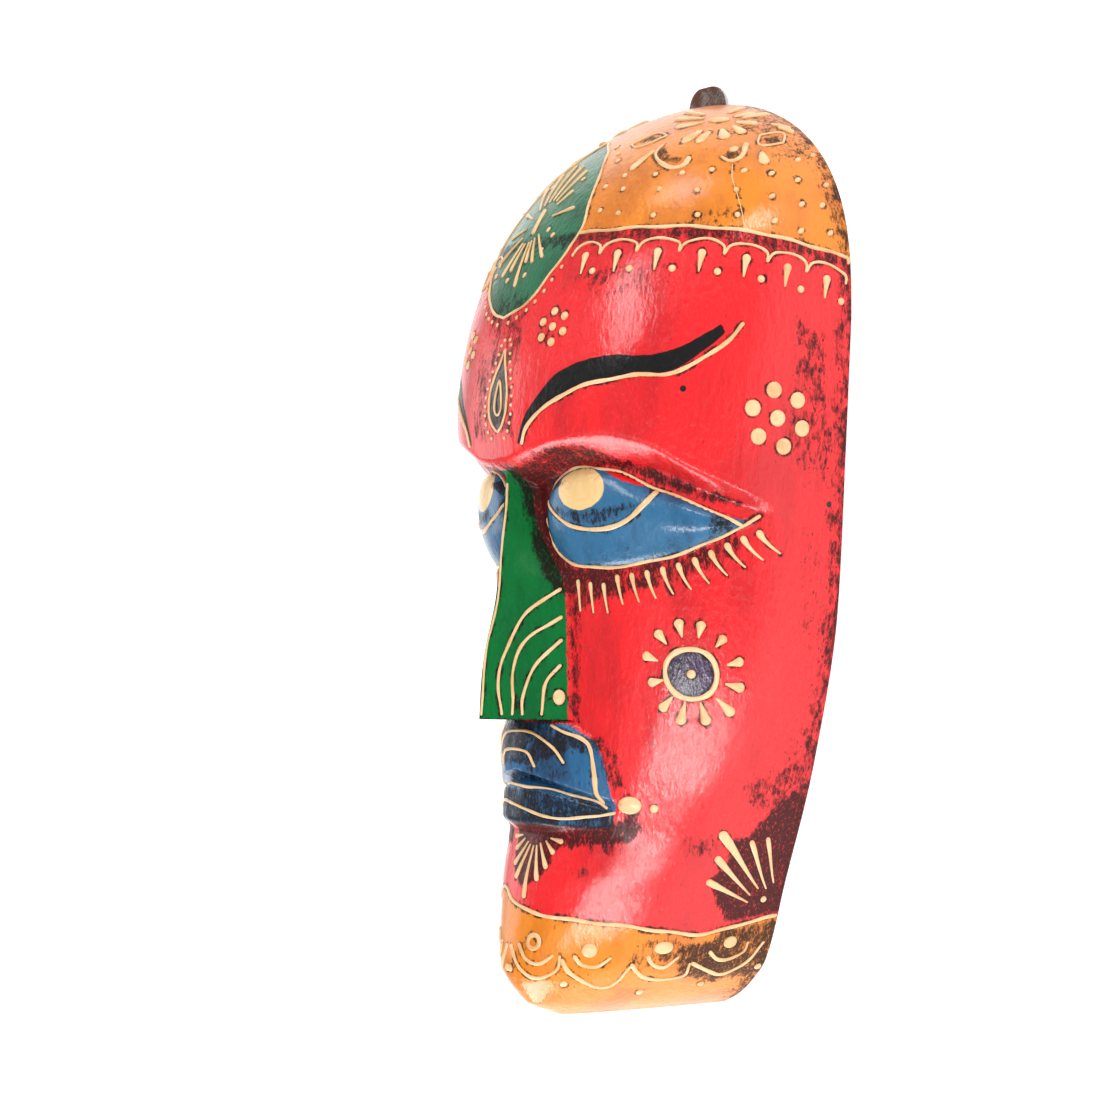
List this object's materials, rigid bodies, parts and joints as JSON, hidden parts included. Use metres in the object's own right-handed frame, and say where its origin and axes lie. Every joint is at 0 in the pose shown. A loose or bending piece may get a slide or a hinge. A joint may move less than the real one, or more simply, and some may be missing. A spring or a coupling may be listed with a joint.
{
  "type": "wooden wall mask",
  "caption": "Long carved wooden face mask to hang on a wall, half round with a hollow flat back, painted red, orange, green and blue, with an iron hanging strip.",
  "frame": {"origin": "plane of the flat back, midway between the flanks and midway along the whole length with the hanging strip", "axes": "+Z out of the face, +Y from the chin to the crown, +X toward the mask's left flank; the mask lies on its flat back"},
  "size_m": [0.1908, 0.38, 0.1129],
  "materials": {
    "painted_wood": "carved wood under glossy hand paint and a dark antique wash, bare at the back",
    "hanger_iron": "dark sheet iron, lightly rusted",
    "nail_iron": "dull iron"
  },
  "bodies": {
    "root": {"mask_body": "painted_wood", "hanger_tab": "hanger_iron", "lower_nail": "nail_iron", "upper_nail": "nail_iron"}
  },
  "joints": []
}
